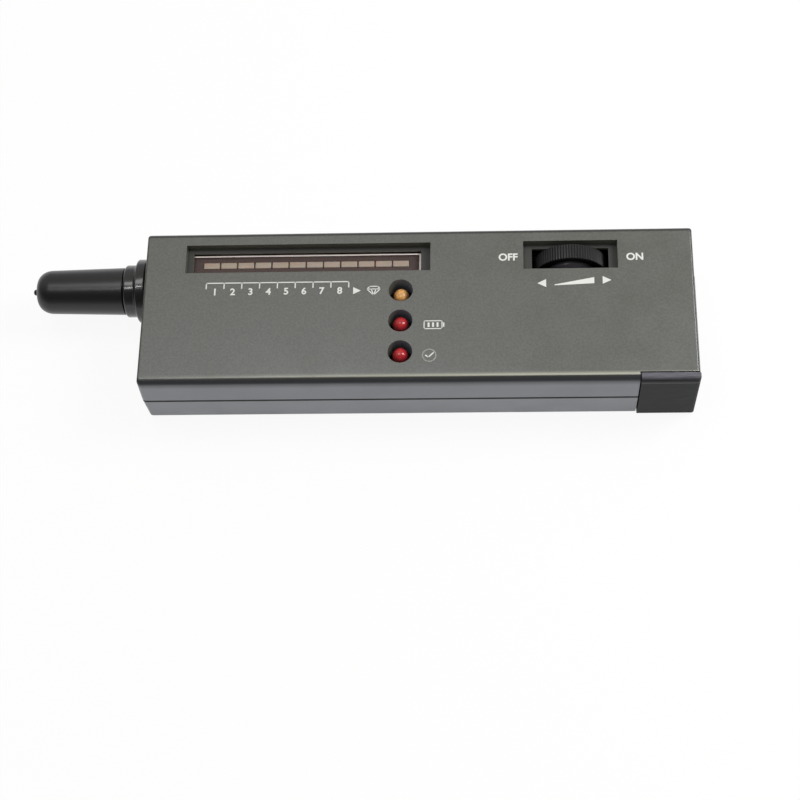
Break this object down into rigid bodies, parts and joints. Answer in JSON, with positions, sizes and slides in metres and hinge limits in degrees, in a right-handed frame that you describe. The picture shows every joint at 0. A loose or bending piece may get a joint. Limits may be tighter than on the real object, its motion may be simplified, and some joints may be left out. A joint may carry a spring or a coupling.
{
  "type": "diamond tester",
  "caption": "Flat handheld gem tester with a long bar-light display, lamps in round wells, a thumbwheel at one edge, a capped probe at the end and a corner battery door.",
  "frame": {"origin": "middle of the whole part's footprint, on the plane that its rear face lies on", "axes": "+X from the capped probe towards the battery end, +Y away from the battery door's side, +Z out of the display face"},
  "size_m": [0.1794, 0.0456, 0.0229],
  "materials": {
    "case": "moulded matte grey",
    "door": "moulded satin black",
    "probe_collar": "turned black",
    "probe_cap": "moulded black, softly shining",
    "collar_nut": "nickel plated",
    "probe_barrel": "turned",
    "probe_nose": "off-white heat-proof plastic",
    "probe_tip": "bright copper",
    "tip_heater": "white ceramic",
    "tip_spring": "drawn wire",
    "spring_seat": "turned",
    "display_window": "tinted, polished",
    "display_frame": "moulded white",
    "display_mask": "moulded dark",
    "bar_lights": "cast, unlit",
    "lamp_amber": "clear tinted cast",
    "lamp_red": "clear tinted cast",
    "thumbwheel": "moulded black, knurled",
    "wheel_screw": "plated",
    "volume_pot": "pressed",
    "circuit_board": "lacquered",
    "board_screws": "plated",
    "chips": "moulded",
    "capacitors": "shrunk sleeve",
    "trimmer_body": "moulded",
    "trimmer_rotor": "moulded",
    "transistor": "moulded",
    "resistors": "lacquered",
    "buzzer": "moulded",
    "battery": "printed metal jacket",
    "battery_snap": "moulded",
    "red_leads": "insulated wire",
    "black_lead": "insulated wire",
    "touch_plate": "brushed along the case",
    "touch_plate_lead": "insulated wire",
    "rear_studs": "polished",
    "case_screws": "nickel plated"
  },
  "bodies": {
    "case": {"front_shell": "case", "rear_shell": "case", "probe_collar": "probe_collar", "collar_nut": "collar_nut", "probe_barrel": "probe_barrel", "probe_nose": "probe_nose", "tip_spring": "tip_spring", "spring_seat": "spring_seat", "display_window": "display_window", "display_frame": "display_frame", "display_mask": "display_mask", "bar_light_01": "bar_lights", "bar_light_02": "bar_lights", "bar_light_03": "bar_lights", "bar_light_04": "bar_lights", "bar_light_05": "bar_lights", "bar_light_06": "bar_lights", "bar_light_07": "bar_lights", "bar_light_08": "bar_lights", "bar_light_09": "bar_lights", "bar_light_10": "bar_lights", "bar_light_11": "bar_lights", "bar_light_12": "bar_lights", "lamp_amber": "lamp_amber", "lamp_red_1": "lamp_red", "lamp_red_2": "lamp_red", "volume_pot": "volume_pot", "circuit_board": "circuit_board", "board_screw_1": "board_screws", "board_screw_2": "board_screws", "driver_chip": "chips", "amplifier_chip": "chips", "capacitor_1": "capacitors", "capacitor_2": "capacitors", "trimmer_body": "trimmer_body", "transistor": "transistor", "resistor_1": "resistors", "resistor_2": "resistors", "buzzer": "buzzer", "battery": "battery", "battery_snap": "battery_snap", "red_lead": "red_leads", "probe_lead": "red_leads", "black_lead": "black_lead", "touch_plate": "touch_plate", "touch_plate_lead": "touch_plate_lead", "rear_stud_1": "rear_studs", "rear_stud_2": "rear_studs", "rear_stud_3": "rear_studs", "rear_stud_4": "rear_studs", "rear_stud_5": "rear_studs", "case_screw_1": "case_screws", "case_screw_2": "case_screws"},
    "thumbwheel": {"thumbwheel": "thumbwheel", "wheel_screw": "wheel_screw"},
    "probe_cap": {"probe_cap": "probe_cap"},
    "battery_door": {"battery_door": "door"},
    "probe_tip": {"probe_tip": "probe_tip", "tip_heater": "tip_heater"},
    "trimmer_rotor": {"trimmer_rotor": "trimmer_rotor"}
  },
  "joints": [
    {"name": "thumbwheel_turn", "type": "hinge", "parent": "case", "child": "thumbwheel", "pos_m": [0.05725, 0.0148, 0.0131], "axis": [0, 1, 0], "range_deg": [0, 300]},
    {"name": "cap_pull", "type": "slide", "parent": "case", "child": "probe_cap", "axis": [-1, 0, 0], "range_m": [0, 0.03]},
    {"name": "door_slide", "type": "slide", "parent": "case", "child": "battery_door", "axis": [1, 0, 0], "range_m": [0, 0.03]},
    {"name": "tip_press", "type": "slide", "parent": "case", "child": "probe_tip", "axis": [1, 0, 0], "range_m": [0, 0.0012], "stiffness_N_per_m": 500, "springref_m": -0.001},
    {"name": "trimmer_turn", "type": "hinge", "parent": "case", "child": "trimmer_rotor", "pos_m": [0.00275, -0.0131, 0.0159], "axis": [0, 0, 1], "range_deg": [-120, 120]}
  ]
}
